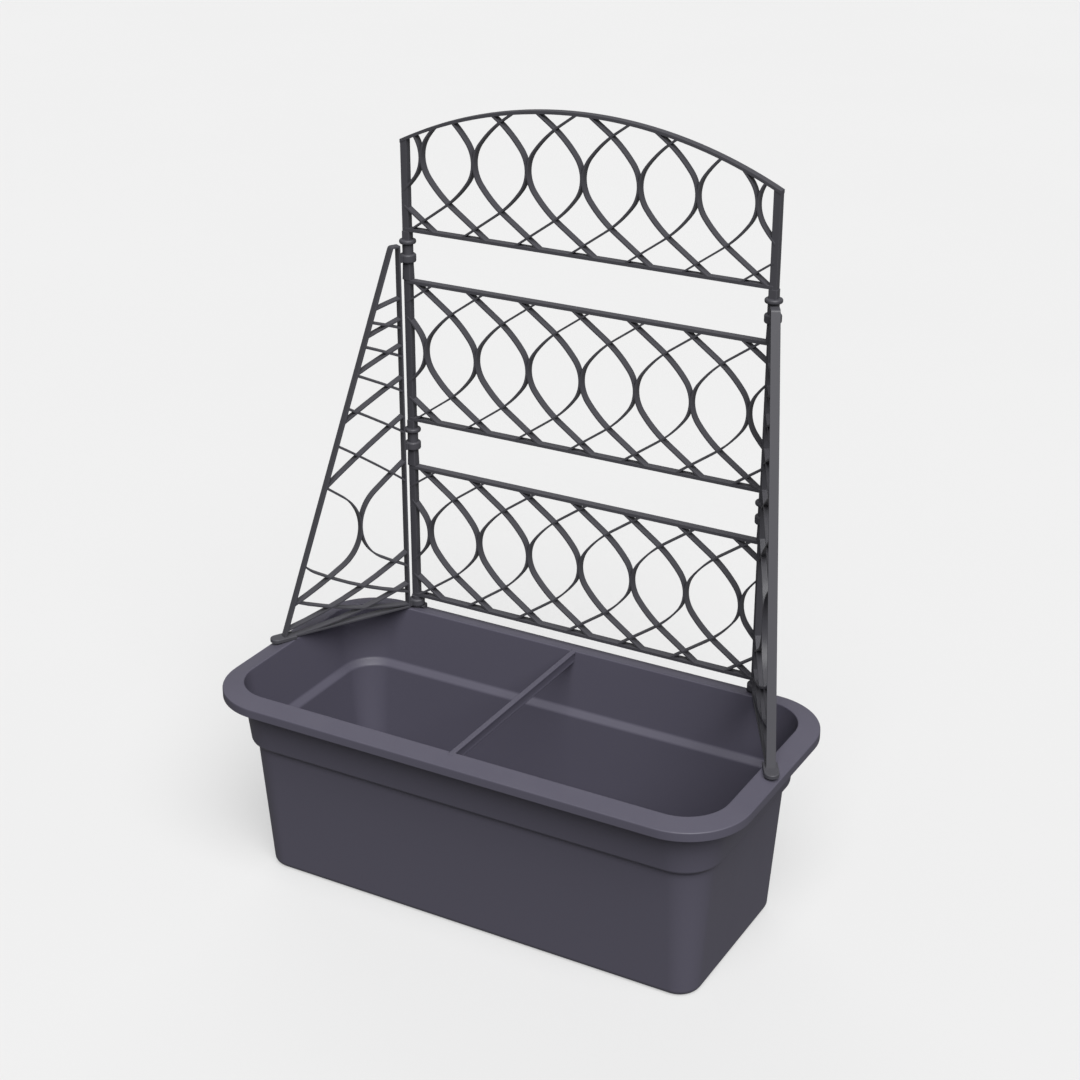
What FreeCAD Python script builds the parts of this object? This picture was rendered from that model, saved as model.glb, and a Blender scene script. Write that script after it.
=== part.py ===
import FreeCAD, Part
import os
from math import sin, cos, tan, radians, sqrt, pi

# A rectangular floor planter with a three-panel trellis along its back rim
# and a hinged triangular wing at each end.  Millimetres, +Z up, +X along the
# trough, +Y towards the trellis.  The origin is the centre of the base.

V = FreeCAD.Vector
os.makedirs("parts", exist_ok=True)

# ---------------------------------------------------------------- sizes
FIT = 0.05            # clearance per side of a spigot or a hinge neck
PLAY = 0.5            # end play beside a hinge eye

# trough.  Its plan is a rounded rectangle, and every height has the same
# corner centres, so one section serves the corners and the straight sides.
LENGTH = 800.0        # over the lip
WIDTH = 393.0         # over the lip
LIP_R = 92.0          # plan radius of the lip's corners
RIM_Z = 296.5         # inner crest of the lip
LIP_W = 30.5          # width of the lip's sloping top
LIP_DROP = 6.2        # fall of the lip from crest to outer edge
SKIRT = 13.0          # height of the lip's hanging edge
LIP_T = 3.0           # thickness of lip and skirt
EDGE_R = 1.8          # rounding of the lip's edges
WALL = 3.5
FLOOR_T = 5.0         # floor, with the recess under it
BASE_IN = 60.0        # how far the foot of the wall stands inside the lip
BODY_IN = 45.5        # the same at the top of the lower body
COLLAR_IN = 36.5      # the same at the bottom of the collar
STEP_LO = 200.0       # the wall steps out between these two heights
STEP_HI = 208.0
STEP_R = 5.0          # rounding of that step
FOOT_R = 11.0         # rounding between base and wall
STAND_W = 22.0        # width of the standing ring under the base
STAND_H = 2.0
DRAIN_R = 5.0
DRAIN_END = 100.0     # base's end to the last drain hole
DRAIN_SIDE = 74.5     # base's side to the rows of holes
DRAIN_FLATS = 12
CORNER_FLATS = 9      # flats round each corner of the plan

# cross brace
BRACE_H = 16.0
BRACE_W = 8.0
BRACE_WEB = 5.4
BRACE_BEAD = 6.2      # width of the bead along its lower edge
BRACE_FLANGE = 3.0
BRACE_HOOK = 7.0      # length of each end lying in the rim
BRACE_SINK = 0.6      # its top below the rim's crest
BRACE_ROUND = 0.8
BLOCK_H = 14.0        # the blocks that carry it hang this far below the crest
BLOCK_IN = 2.0        # stand this far back from the crest
BLOCK_WALL = 5.0      # and reach this far beyond its end
BLOCK_SIDE = 4.0      # and beside it

# trellis
POST_X = LENGTH / 2 - 123      # post axes, either side of the centre
POST_Y = WIDTH / 2 - 12.5      # on the lip
STILE = 10.4          # square section of the panels' uprights
STILE_CUT = 0.8
RAIL_H = 5.0
RAIL_D = 11.6
STRIP_T = 2.7         # thickness of a lattice strip in the panel's plane
STRIP_D = 11.6        # depth of a lattice strip
RAIL_Z = RIM_Z + 19.5          # centre of the lowest rail
PANEL_H = 206.0       # bottom rail centre to top rail centre
PANEL_GAP = 70.0      # free height between two panels
PITCH = PANEL_H + RAIL_H + PANEL_GAP
KISS_H = PANEL_H / 2 + 2       # bottom rail centre to where the strips touch
KISS_X = (POST_X - 27) / 3     # spacing of the columns where they touch
KISS_OFF = 0.9        # from there to the middle line of either strip
BEND_R = 48.0         # each half of a strip bends away from the other one,
BEND_TO = 36.3        # up to this angle from upright
BEND_FLATS = 3
SWEEP_R = 171.0       # then less tightly, up to this one
SWEEP_TO = 54.7
SWEEP_FLATS = 2
ARCH_TOP = RAIL_Z + 2 * PITCH + 192
ARCH_R = 640.0
ARCH_T = 4.6

# connectors
SPIGOT = 8.0          # square spigots
SPIGOT_L = 12.0
SPIGOT_CUT = 0.6
NECK_R = 7.8
SLEEVE_IN = 1.8       # a sleeve's sides stand this far inside the neck's
SLEEVE = 2 * (NECK_R - SLEEVE_IN)
SLEEVE_FOOT = SLEEVE + 1.2
SLEEVE_CUT = 1.4
FOOT_W = 24.4         # square plate on the lip
FOOT_CUT = 5.0        # rounding of its corners
PIN_R = 5.0           # pin through the lip
PIN_TIP = 1.2         # bevel of its end
PIN_UP = 5.0          # its end above the skirt's edge
RING_R = NECK_R + 4.2
RING_H = 6.2
RING_CUT = 2.1
RING_FLATS = 18
NECK_FLATS = 24
SOCKET_END = 0.4      # space left beyond a spigot in its socket
RING_GAP = 12.1       # rail to the top of the ring
EYE_R = NECK_R + 3.8
EYE_H = 12.0
EYE_CUT = 2.3
EYE_DROP = 26.6       # ring's underside to the underside of the hinge eye
EYE_WEB = 8.0         # width of the web from eye to wing

# wings
SPLAY = 29.2          # angle of each wing outwards from straight forwards
WING_D = 12.4         # depth of the wing's frame
WING_IN = 14.6        # post axis to the near face of the wing's stile
WING_STILE = 2.7      # the frame is a flat strip on edge all round
WING_APEX = 28.0      # outer edge of the sloping side at the top
WING_TOE = 222.0      # the same at the bottom
WING_BAR = 2.7
TOP_R = 3.0           # rounding of the wing's top corner
WING_SLOPE_W = 3.0    # sloping side measured level
WING_LOW = RIM_Z + 1.5         # underside of the bottom rail
WING_RAIL = 2.9
WING_STRIP_IN = 0.7   # the strips' faces behind the frame's
LOW_EYE_DOWN = 4.3    # gap between the lowest eye and the lowest rail
WING_KISS = 90.0      # distance of the touching column from the post axis
WING_KISS_Z = WING_LOW + 148
WING_PITCH = 107.0
WING_BEND_R = 65.0    # bend beside the touching point,
UP_TO = 52.0          # up to this angle in the upper arms
DOWN_TO = 58.0        # and this one in the lower arms;
UP_R, UP_END = 1550.0, 83.0    # then a long curve, up to a second angle
DOWN_R, DOWN_END = 600.0, 98.0
WING_BEND_FLATS = 4
UP_FLATS = 11
DOWN_FLATS = 7

# wing shoes
SHOE_W = 20.0
SHOE_FROM = WING_TOE - 18
SHOE_TO = WING_TOE + 19
SHOE_H = 5.0
SHOE_FLOOR = 1.1


# ---------------------------------------------------------------- helpers
def outline(points):
    """Closed face in the XZ plane through (x, z) points."""
    pts = [V(x, 0, z) for x, z in points]
    return Part.Face(Part.makePolygon(pts + pts[:1]))


def eased(points, n=2):
    """A run of (x, z) points, where one given as (x, z, radius) is rounded
    off in n flats."""
    out = []
    for i, p in enumerate(points):
        if len(p) < 3:
            out.append(p)
            continue
        here = V(p[0], 0, p[1])
        back = (V(points[i - 1][0], 0, points[i - 1][1]) - here).normalize()
        on = (V(points[i + 1][0], 0, points[i + 1][1]) - here).normalize()
        half = back.getAngle(on) / 2
        centre = here + (back + on).normalize() * (p[2] / sin(half))
        start = here + back * (p[2] / tan(half)) - centre
        end = here + on * (p[2] / tan(half)) - centre
        turn = pi - 2 * half
        for k in range(n + 1):
            u = sin(turn * (n - k) / n) / sin(turn)
            w = sin(turn * k / n) / sin(turn)
            q = centre + start * u + end * w
            out.append((q.x, q.z))
    return out


def plan(a, b, r, z, flats):
    """Rounded rectangle 2a by 2b at height z, its corners in flats."""
    pts = []
    for i, (sx, sy) in enumerate(((1, 1), (-1, 1), (-1, -1), (1, -1))):
        for k in range(flats + 1):
            t = radians(90 * (i + k / flats))
            pts.append(V(sx * (a - r) + r * cos(t), sy * (b - r) + r * sin(t), z))
    return pts


def skin(rings):
    """Solid with flat faces between rings that have equally many points,
    closed by a flat face over the first and the last."""
    faces = []
    for low, high in zip(rings, rings[1:]):
        for i in range(len(low)):
            quad = [low[i - 1], low[i], high[i], high[i - 1], low[i - 1]]
            faces.append(Part.Face(Part.makePolygon(quad)))
    for ring in (rings[0], rings[-1]):
        faces.append(Part.Face(Part.makePolygon(ring + ring[:1])))
    body = Part.Solid(Part.Shell(faces))
    if body.Volume < 0:
        body.reverse()
    return body


def slab(face, depth, y):
    """Give a flat face depth about y."""
    flat = face.copy()
    flat.translate(V(0, y - depth / 2, 0))
    return flat.extrude(V(0, depth, 0))


def box(x0, x1, y0, y1, z0, z1):
    return Part.makeBox(x1 - x0, y1 - y0, z1 - z0, V(x0, y0, z0))


def bar(w0, w1, cut, x, y, z0, z1):
    """Upright square bar, w0 wide at the bottom and w1 at the top, with its
    four long edges cut back."""
    rings = []
    for w, z in ((w0, z0), (w1, z1)):
        r = cut * w / w0
        rings.append([p + V(x, y, 0) for p in plan(w / 2, w / 2, r, z, 1)])
    return skin(rings)


def turned(section, x, y, flats):
    """Ring or stem of many flats about the upright axis at (x, y), from
    (radius, z) points."""
    rings = []
    for r, z in section:
        steps = [2 * pi * k / flats for k in range(flats)]
        rings.append([V(x + r * cos(t), y + r * sin(t), z) for t in steps])
    return skin(rings)


def strip(points):
    """Flat strip STRIP_T wide along a run of (x, z) points."""
    pts = [V(x, 0, z) for x, z in points]
    sides = ([], [])
    for i, p in enumerate(pts):
        into = (p - pts[i - 1]).normalize() if i else None
        out = (pts[i + 1] - p).normalize() if i + 1 < len(pts) else into
        into = into or out
        across = V(-(into.z + out.z), 0, into.x + out.x).normalize()
        k = STRIP_T / 2 / (across.x * -out.z + across.z * out.x)
        sides[0].append(p + across * k)
        sides[1].append(p - across * k)
    ring = sides[0] + sides[1][::-1]
    return Part.Face(Part.makePolygon(ring + ring[:1]))


def arm(x, z, side, up, bends, on=0):
    """Points of half a lattice strip.  It leaves (x, z) upright and turns
    towards side through bends, each given by its radius, the angle it turns
    up to and its number of flats, then runs straight on."""
    pts = [(0, 0)]
    a = 0.0
    for r, to, flats in bends:
        step = (radians(to) - a) / flats
        for _ in range(flats):
            u, v = pts[-1]
            b = a + step
            pts.append((u + r * (cos(a) - cos(b)), v + r * (sin(b) - sin(a))))
            a = b
    if on:
        u, v = pts[-1]
        pts.append((u + sin(a) * on, v + cos(a) * on))
    return [(x + side * u, z + up * v) for u, v in pts]


def lattice(strips, region, depth, y):
    """Fuse flat strips, trim them to region and give them depth."""
    flat = strips[0].multiFuse(strips[1:]).common(region).removeSplitter()
    return slab(flat, depth, y)


def solid(shape):
    """The one solid of a boolean result."""
    s = shape.removeSplitter()
    assert len(s.Solids) == 1, len(s.Solids)
    return s.Solids[0]


def export(shape, name):
    shape.exportStep("parts/%s.step" % name)


def mirrored(shape, normal=V(1, 0, 0)):
    return shape.mirror(V(0, 0, 0), normal)


# ---------------------------------------------------------------- trough
edge_z = RIM_Z - LIP_DROP
crest = LIP_R - LIP_W                 # radii from the corner centres
centre_x = LENGTH / 2 - LIP_R
centre_y = WIDTH / 2 - LIP_R


def lip_top(r):
    """Height of the lip's top at radius r from the corner centres."""
    return RIM_Z - (r - crest) * LIP_DROP / LIP_W


def level(r, z):
    """Ring of the trough's plan at radius r from the corner centres."""
    return plan(centre_x + r, centre_y + r, r, z, CORNER_FLATS)


base_r, body_r, collar_r = (LIP_R - k for k in (BASE_IN, BODY_IN, COLLAR_IN))
stand_r = base_r - STAND_W
wall_r = crest + WALL
skirt_r = LIP_R - LIP_T
floor_r = base_r - WALL + FLOOR_T * (body_r - base_r) / STEP_LO
section = eased([
    (stand_r - 1, STAND_H), (stand_r, 0), (base_r, 0, FOOT_R),
    (body_r, STEP_LO, STEP_R), (collar_r, STEP_HI, STEP_R),
    (wall_r, lip_top(wall_r) - LIP_T), (skirt_r, lip_top(skirt_r) - LIP_T),
    (skirt_r, edge_z - SKIRT), (LIP_R, edge_z - SKIRT), (LIP_R, edge_z, EDGE_R),
    (crest, RIM_Z, EDGE_R), (collar_r - WALL, STEP_HI, STEP_R),
    (body_r - WALL, STEP_LO, STEP_R),
    (floor_r, FLOOR_T, FOOT_R - WALL), (stand_r, FLOOR_T)])
trough = skin([level(r, z) for r, z in section])

# blocks under the lip that carry the ends of the cross brace
seat_y = WIDTH / 2 - LIP_W
block_start = crest + BLOCK_IN
block_end = crest + BRACE_HOOK + BLOCK_WALL
block = slab(outline([(block_start, RIM_Z - BLOCK_H), (block_end, RIM_Z - BLOCK_H),
                      (block_end, lip_top(block_end) - 1),
                      (block_start, lip_top(block_start) - 1)]),
             BRACE_W + 2 * BLOCK_SIDE, 0)
block.rotate(V(0, 0, 0), V(0, 0, 1), 90)
block.translate(V(0, centre_y, 0))
trough = trough.multiFuse([block, mirrored(block, V(0, 1, 0))])

# the brace's hooks lie in pockets in those blocks
pocket_z = RIM_Z - BRACE_FLANGE - BRACE_SINK
pocket = box(-BRACE_W / 2 - FIT, BRACE_W / 2 + FIT, 0,
             seat_y + BRACE_HOOK + FIT, pocket_z, RIM_Z + 5)
cuts = [pocket, mirrored(pocket, V(0, 1, 0))]
# four drain holes in each of two rows, and holes for the posts' feet
last_x = LENGTH / 2 - BASE_IN - DRAIN_END
row_y = WIDTH / 2 - BASE_IN - DRAIN_SIDE
for k in (-3, -1, 1, 3):
    for sy in (-1, 1):
        cuts.append(turned([(DRAIN_R, -1), (DRAIN_R, FLOOR_T + 1)],
                           last_x * k / 3, sy * row_y, DRAIN_FLATS))
for sx in (-1, 1):
    cuts.append(turned([(PIN_R + FIT, edge_z - SKIRT), (PIN_R + FIT, RIM_Z + 1)],
                       sx * POST_X, POST_Y, RING_FLATS))
trough = solid(trough.cut(cuts))
export(trough, "trough")

# ---------------------------------------------------------------- brace
top_z = pocket_z + BRACE_FLANGE
low_z = top_z - BRACE_H
flange = box(-BRACE_W / 2, BRACE_W / 2, -seat_y - BRACE_HOOK,
             seat_y + BRACE_HOOK, pocket_z, top_z)
reach = seat_y - WALL        # stops just short of the walls
web = box(-BRACE_WEB / 2, BRACE_WEB / 2, -reach, reach, low_z, top_z)
bead = box(-BRACE_BEAD / 2, BRACE_BEAD / 2, -reach, reach,
           low_z, low_z + BRACE_FLANGE)
brace = solid(flange.multiFuse([web, bead]))
long_top = [e for e in brace.Edges
            if abs(e.BoundBox.ZMin - top_z) < 1e-6
            and abs(e.BoundBox.ZMax - top_z) < 1e-6
            and e.BoundBox.YLength > 100]
brace = brace.makeFillet(BRACE_ROUND, long_top)
export(brace, "cross_brace")

# ---------------------------------------------------------------- panels
columns = [k * KISS_X for k in range(-4, 5)]
strip_bends = [(BEND_R, BEND_TO, BEND_FLATS), (SWEEP_R, SWEEP_TO, SWEEP_FLATS)]


def crossing(x, z):
    """The two mirrored strips that touch at (x, z)."""
    out = []
    for side in (-1, 1):
        mid = x + side * KISS_OFF
        low = arm(mid, z, side, -1, strip_bends, 1.4 * KISS_H)
        high = arm(mid, z, side, 1, strip_bends, 1.4 * KISS_H)
        out.append(strip(low[::-1] + high[1:]))
    return out


def spigot(sx, z0, z1):
    return bar(SPIGOT, SPIGOT, SPIGOT_CUT, sx * POST_X, POST_Y, z0, z1)


def stile(sx, z0, z1):
    return bar(STILE, STILE, STILE_CUT, sx * POST_X, POST_Y, z0, z1)


def socket(z0, z1):
    w = SPIGOT + 2 * FIT
    return bar(w, w, SPIGOT_CUT, POST_X, POST_Y, z0, z1)


def rail(z):
    return box(-POST_X, POST_X, POST_Y - RAIL_D / 2, POST_Y + RAIL_D / 2,
               z - RAIL_H / 2, z + RAIL_H / 2)


def rect(x0, x1, z0, z1):
    return outline([(x0, z0), (x1, z0), (x1, z1), (x0, z1)])


def panel(z):
    """Rails at z and PANEL_H higher, an upright at each end with a spigot
    above and below, and the strips between."""
    strips = []
    for x in columns:
        strips += crossing(x, z + KISS_H)
    region = rect(-POST_X, POST_X, z, z + PANEL_H)
    parts = [rail(z), rail(z + PANEL_H)]
    lo = z - RAIL_H / 2
    hi = z + PANEL_H + RAIL_H / 2
    for sx in (-1, 1):
        parts.append(stile(sx, lo, hi))
        parts.append(spigot(sx, lo - SPIGOT_L, lo + 2))
        parts.append(spigot(sx, hi - 2, hi + SPIGOT_L))
    return solid(lattice(strips, region, STRIP_D, POST_Y).multiFuse(parts))


def under_arch(r, base):
    """Flat face below an arch of radius r about the arch's centre."""
    cz = ARCH_TOP - ARCH_R
    x = POST_X + STILE / 2
    side_z = cz + sqrt(r * r - x * x)
    top = Part.Arc(V(-x, 0, side_z), V(0, 0, cz + r), V(x, 0, side_z)).toShape()
    rest = Part.makePolygon([V(x, 0, side_z), V(x, 0, base), V(-x, 0, base),
                             V(-x, 0, side_z)])
    return Part.Face(Part.Wire([top] + rest.Edges))


def top_panel(z):
    """Like the other panels, but closed by an arch that the strips run to."""
    strips = []
    for x in columns:
        strips += crossing(x, z + KISS_H)
    region = under_arch(ARCH_R - ARCH_T / 2, z).common(
        rect(-POST_X, POST_X, z, ARCH_TOP))
    arch = slab(under_arch(ARCH_R, z).cut(under_arch(ARCH_R - ARCH_T, z)),
                RAIL_D, POST_Y)
    below = slab(under_arch(ARCH_R - 0.5, z - RAIL_H), 2 * STILE, POST_Y)
    lo = z - RAIL_H / 2
    parts = [arch, rail(z)]
    for sx in (-1, 1):
        parts.append(stile(sx, lo, ARCH_TOP).common(below))
        parts.append(spigot(sx, lo - SPIGOT_L, lo + 2))
    return solid(lattice(strips, region, STRIP_D, POST_Y).multiFuse(parts))


low_panel = panel(RAIL_Z)
export(low_panel, "panel_bottom")
mid_panel = low_panel.copy()
mid_panel.translate(V(0, 0, PITCH))
export(mid_panel, "panel_middle")
export(top_panel(RAIL_Z + 2 * PITCH), "panel_top")

# ---------------------------------------------------------------- feet
neck_top = RAIL_Z - RAIL_H / 2
flange_z = WING_LOW - PLAY


def foot():
    """Plate on the sloping lip, pin below and hinge neck above."""
    half = FOOT_W / 2
    back = POST_Y + half
    front = POST_Y - half

    def on_lip(y):
        return lip_top(y - centre_y)
    wedge = outline([(front, on_lip(front)), (back, on_lip(back)),
                     (back, flange_z), (front, flange_z)])
    wedge = slab(wedge, FOOT_W, 0)
    wedge.rotate(V(0, 0, 0), V(0, 0, 1), 90)
    wedge.translate(V(POST_X, 0, 0))
    rings = [[p + V(POST_X, POST_Y, 0) for p in plan(half, half, FOOT_CUT, z, 3)]
             for z in (edge_z - 5, flange_z)]
    plate = wedge.common(skin(rings))
    pin_low = edge_z - SKIRT + PIN_UP
    pin = turned([(PIN_R - PIN_TIP, pin_low), (PIN_R, pin_low + PIN_TIP),
                  (PIN_R, flange_z - 1)], POST_X, POST_Y, RING_FLATS)
    neck = turned([(NECK_R, flange_z - 1), (NECK_R, neck_top)],
                  POST_X, POST_Y, NECK_FLATS)
    hollow = socket(neck_top - SPIGOT_L - SOCKET_END, neck_top + 1)
    return solid(plate.multiFuse([pin, neck]).cut(hollow))


foot_right = foot()
export(foot_right, "post_foot_right")
export(mirrored(foot_right), "post_foot_left")

# ---------------------------------------------------------------- connectors
def ring_bottom(base):
    return base + PANEL_GAP - RING_GAP - RING_H


def connector(base):
    """Joins two posts: base is the top face of the lower panel's rail."""
    top = base + PANEL_GAP
    low = ring_bottom(base)
    high = low + RING_H
    eye_low = low - EYE_DROP
    seat = eye_low - PLAY
    c = RING_CUT
    bead = turned([(RING_R - c, low), (RING_R, low + c), (RING_R, high - c),
                   (RING_R - c, high)], POST_X, POST_Y, RING_FLATS)
    neck = turned([(NECK_R, seat), (NECK_R, low + 1)], POST_X, POST_Y, NECK_FLATS)
    upper = bar(SLEEVE, SLEEVE, SLEEVE_CUT, POST_X, POST_Y, high - 1, top)
    tongue = bar(SPIGOT, SPIGOT, SPIGOT_CUT, POST_X, POST_Y,
                 seat - SPIGOT_L + SOCKET_END, seat + 1)
    head = bead.multiFuse([neck, upper, tongue])
    head = solid(head.cut(socket(top - SPIGOT_L - SOCKET_END, top + 1)))
    sleeve = bar(SLEEVE_FOOT, SLEEVE, SLEEVE_CUT, POST_X, POST_Y, base, seat)
    sleeve = solid(sleeve.cut(socket(base - 1, seat + 1)))
    return head, sleeve, eye_low


eyes = [(WING_LOW, neck_top - PLAY - LOW_EYE_DOWN)]
rings = []
for n, row in enumerate(("lower", "upper")):
    base = RAIL_Z + PANEL_H + RAIL_H / 2 + n * PITCH
    head, sleeve, eye_low = connector(base)
    eyes.append((eye_low, eye_low + EYE_H))
    rings.append(ring_bottom(base))
    for name, shape in (("connector", head), ("sleeve", sleeve)):
        export(shape, "%s_%s_right" % (name, row))
        export(mirrored(shape), "%s_%s_left" % (name, row))

# ---------------------------------------------------------------- wings
# Built flat: X runs out from the post axis, Y is the depth, Z is up.
wing_top = rings[1] - 0.6       # just under the upper connector's ring
lean = (WING_TOE - WING_APEX) / (wing_top - WING_LOW)


def slope_x(z, inset=0.0):
    """Outer edge of the sloping side at height z."""
    return WING_TOE - (z - WING_LOW) * lean - inset


def wing_lattice(z0, z1):
    """Strips from one real touching column and from those that would stand
    beyond the frame, trimmed to the middle of the frame's members."""
    mid_in = WING_SLOPE_W / 2
    x0 = WING_IN + WING_STILE / 2
    region = outline([(x0, z0), (slope_x(z0, mid_in), z0),
                      (slope_x(z1, mid_in), z1), (x0, z1)])
    above = [(WING_BEND_R, UP_TO, WING_BEND_FLATS), (UP_R, UP_END, UP_FLATS)]
    below = [(WING_BEND_R, DOWN_TO, WING_BEND_FLATS), (DOWN_R, DOWN_END, DOWN_FLATS)]
    strips = []
    for side in (-1, 1):
        for k in range(6):
            x = WING_KISS - side * k * WING_PITCH
            strips.append(strip(arm(x, WING_KISS_Z, side, 1, above)))
            if k < 3:
                strips.append(strip(arm(x, WING_KISS_Z, side, -1, below)))
    return lattice(strips, region, WING_D - 2 * WING_STRIP_IN, 0)


def wing():
    z0, z1 = WING_LOW, wing_top
    x0 = WING_IN
    x1 = WING_IN + WING_STILE
    edge = outline(eased([(x0, z0), (slope_x(z0), z0),
                          (slope_x(z1), z1, TOP_R), (x0, z1)]))
    in0 = z0 + WING_RAIL
    in1 = z1 - WING_BAR
    window = outline([(x1, in0), (slope_x(in0, WING_SLOPE_W), in0),
                      (slope_x(in1, WING_SLOPE_W), in1), (x1, in1)])
    frame = slab(edge.cut(window), WING_D, 0)
    parts = [wing_lattice(z0 + WING_RAIL / 2, z1 - WING_BAR / 2)]
    cuts = []
    for low, high in eyes:
        c = EYE_CUT
        parts.append(turned([(EYE_R - c, low), (EYE_R, low + c),
                             (EYE_R, high - c), (EYE_R - c, high)],
                            0, 0, RING_FLATS))
        parts.append(box(0, x0 + 1, -EYE_WEB / 2, EYE_WEB / 2, low + 1, high - 1))
        cuts.append(Part.makeCylinder(NECK_R + FIT, high - low + 2,
                                      V(0, 0, low - 1)))
    return solid(frame.multiFuse(parts).cut(cuts))


def shoe():
    r = SHOE_W / 2
    low = WING_LOW - SHOE_FLOOR
    body = box(SHOE_FROM, SHOE_TO - r, -r, r, low, low + SHOE_H)
    nose = turned([(r, low), (r, low + SHOE_H)], SHOE_TO - r, 0, NECK_FLATS)
    slot = box(SHOE_FROM - 1, WING_TOE + FIT, -WING_D / 2 - FIT,
               WING_D / 2 + FIT, WING_LOW, WING_LOW + SHOE_H)
    return solid(body.fuse(nose).cut(slot))


def to_left(shape):
    """From the flat building position to the left post."""
    out = shape.copy()
    out.rotate(V(0, 0, 0), V(0, 0, 1), SPLAY - 90 - 2 * SPLAY)
    out.translate(V(-POST_X, POST_Y, 0))
    return out


wing_left = to_left(wing())
export(wing_left, "wing_left")
export(mirrored(wing_left), "wing_right")
shoe_left = to_left(shoe())
export(shoe_left, "wing_shoe_left")
export(mirrored(shoe_left), "wing_shoe_right")
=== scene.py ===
# %% [markdown]
# # A floor planter with a trellis, in Blender
# The real object is a dark grey plastic trough with a broad lip. A trellis of
# three panels stands on its back rim, and a tall triangular wing hangs from
# each post and rests its toe on the lip. The imported frame already says where
# every piece is. Here each one gets the smooth, moulded form that it has in
# your hand, and a plastic that looks like plastic.

# %% Load the frame, and put each part's place into its mesh
from math import asin, cos, pi, radians, sin, sqrt

import bmesh
import bpy
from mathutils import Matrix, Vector


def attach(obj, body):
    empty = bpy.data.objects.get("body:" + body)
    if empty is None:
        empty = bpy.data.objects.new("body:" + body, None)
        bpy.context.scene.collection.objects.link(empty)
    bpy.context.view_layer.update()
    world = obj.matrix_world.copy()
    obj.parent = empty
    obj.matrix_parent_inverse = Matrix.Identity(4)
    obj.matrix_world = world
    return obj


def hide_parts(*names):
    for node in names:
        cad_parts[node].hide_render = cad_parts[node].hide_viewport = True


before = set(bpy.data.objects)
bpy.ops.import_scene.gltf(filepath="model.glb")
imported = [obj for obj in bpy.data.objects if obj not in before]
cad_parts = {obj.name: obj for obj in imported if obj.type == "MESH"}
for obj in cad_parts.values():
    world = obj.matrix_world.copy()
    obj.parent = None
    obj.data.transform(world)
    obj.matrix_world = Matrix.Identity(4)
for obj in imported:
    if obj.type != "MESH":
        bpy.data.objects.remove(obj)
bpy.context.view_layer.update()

# %% [markdown]
# ## Habits for the whole lesson
# Blender's operators act on whatever is selected, so every step begins by
# clearing the selection and taking up one piece. The sizes of this planter are
# easiest to read in millimetres, while Blender counts in metres, so `mm` turns
# one into the other as each piece is begun.

# %% Take up one piece at a time
MM = 0.001


def mm(*values):
    return Vector([v * MM for v in values])


def lay_down():
    """Leave edit mode and select nothing."""
    if bpy.context.object and bpy.context.object.mode != "OBJECT":
        bpy.ops.object.mode_set(mode="OBJECT")
    bpy.ops.object.select_all(action="DESELECT")


def take_up(piece):
    """Make this the one piece that operators act on."""
    lay_down()
    piece.select_set(True)
    bpy.context.view_layer.objects.active = piece


def settle(piece):
    """Put a piece's place, turn and scale into its mesh."""
    take_up(piece)
    bpy.ops.object.transform_apply(location=True, rotation=True, scale=True)


# %% Begin with a block
def block(name, low, high):
    """A cube between two corners, in millimetres."""
    lay_down()
    low, high = mm(*low), mm(*high)
    bpy.ops.mesh.primitive_cube_add(size=1, location=(low + high) / 2)
    piece = bpy.context.object
    piece.name = name
    piece.scale = high - low
    settle(piece)
    return piece


# %% Begin with a round bar
def round_bar(name, radius, low, high, sides=40):
    """An upright cylinder about the origin, in millimetres."""
    lay_down()
    bpy.ops.mesh.primitive_cylinder_add(
        vertices=sides, radius=radius * MM, depth=(high - low) * MM,
        location=mm(0, 0, (low + high) / 2))
    piece = bpy.context.object
    piece.name = name
    settle(piece)
    return piece


# %% Select by place, as a hand would click
def pick(piece, kind, test):
    """Enter edit mode with only those parts selected that pass the test."""
    take_up(piece)
    bpy.ops.object.mode_set(mode="EDIT")
    bpy.ops.mesh.select_mode(type=kind)
    bpy.ops.mesh.select_all(action="DESELECT")
    mesh = bmesh.from_edit_mesh(piece.data)
    kinds = {"VERT": mesh.verts, "EDGE": mesh.edges, "FACE": mesh.faces}
    for part in kinds[kind]:
        if test(part):
            part.select_set(True)
    bmesh.update_edit_mesh(piece.data)


def everything(part):
    return True


def ends(edge):
    return edge.verts[0].co, edge.verts[1].co


def upright(edge):
    a, b = ends(edge)
    return abs(a.z - b.z) > 0.9 * (a - b).length


def level(edge):
    a, b = ends(edge)
    return abs(a.z - b.z) < 0.05 * MM


# %% Round edges off
def ease(piece, width, steps, test=everything):
    """Bevel the chosen edges by a width in millimetres."""
    pick(piece, "EDGE", test)
    bpy.ops.mesh.bevel(offset=width * MM, segments=steps, affect="EDGES")
    lay_down()


# %% Join and cut solids
def combine(piece, other, how="UNION"):
    """Apply a Boolean modifier, and use the other solid up."""
    take_up(piece)
    step = piece.modifiers.new("combine", "BOOLEAN")
    step.object = other
    step.operation = how
    step.solver = "MANIFOLD"
    bpy.ops.object.modifier_apply(modifier=step.name)
    bpy.data.objects.remove(other)
    return piece


# %% Copy and mirror
def copy_of(piece, name, move=(0, 0, 0), mirrored=False):
    """A copy with its own mesh, moved by millimetres, or mirrored in X."""
    take_up(piece)
    bpy.ops.object.duplicate()
    twin = bpy.context.object
    twin.name = name
    twin.scale.x = -1 if mirrored else 1
    twin.location = mm(*move)
    settle(twin)
    if mirrored:
        pick(twin, "FACE", everything)
        bpy.ops.mesh.normals_make_consistent(inside=False)
        lay_down()
    return twin


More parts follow.
